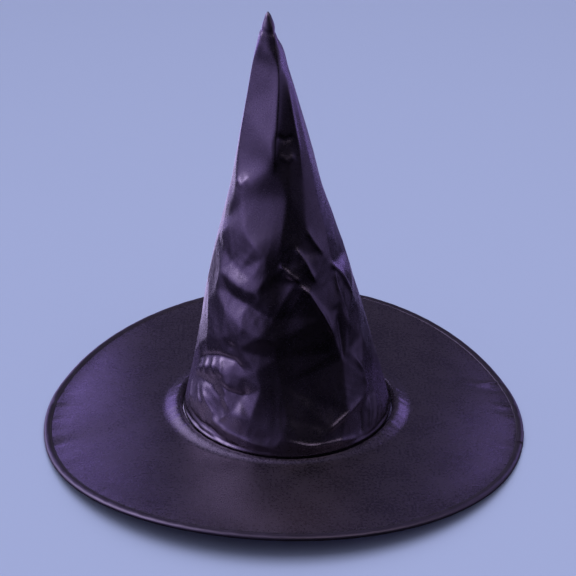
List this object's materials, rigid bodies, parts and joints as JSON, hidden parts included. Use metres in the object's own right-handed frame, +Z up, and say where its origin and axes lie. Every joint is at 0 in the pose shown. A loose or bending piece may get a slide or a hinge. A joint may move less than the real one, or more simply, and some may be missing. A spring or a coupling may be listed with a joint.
{
  "type": "witch hat",
  "caption": "Tall pointed satin costume hat with a wide wired brim, bound edge and soft crown whose top bends sideways.",
  "frame": {"origin": "on the floor under the centre of the brim, where the hat rests", "axes": "+Z up towards the tip, -Y the hat's front, +X its right side as the front is looked at"},
  "size_m": [0.44, 0.44, 0.385],
  "materials": {
    "crown_satin": "black polyester satin with a purple cast, glossy along its folds",
    "brim_satin": "black polyester satin with a purple cast, taut and evenly glossy",
    "binding_tape": "folded satin bias tape",
    "interlining": "matt black non-woven interlining",
    "brim_stiffener": "matt stiff non-woven sheet",
    "sweatband_ribbon": "black grosgrain ribbon, fine ribs",
    "sewing_thread": "black polyester sewing thread",
    "spring_wire": "drawn spring steel"
  },
  "bodies": {
    "hat": {"crown_satin_lower": "crown_satin", "crown_satin_bend": "crown_satin", "crown_interlining_lower": "interlining", "crown_interlining_bend": "interlining", "brim_top_cover": "brim_satin", "brim_core": "brim_stiffener", "brim_under_cover": "brim_satin", "brim_wire": "spring_wire", "wire_ferrule": "spring_wire", "edge_binding": "binding_tape", "binding_lap": "binding_tape", "binding_topstitch": "sewing_thread", "sweatband": "sweatband_ribbon", "sweatband_stitch": "sewing_thread"},
    "crown_top": {"crown_satin_top": "crown_satin", "crown_interlining_top": "interlining"}
  },
  "joints": [
    {"name": "crown_bend", "type": "hinge", "parent": "hat", "child": "crown_top", "pos_m": [-0.00907, 0, 0.2496], "axis": [0, 1, 0], "range_deg": [-70, 70], "deforming": ["crown_satin_bend", "crown_interlining_bend"]}
  ]
}
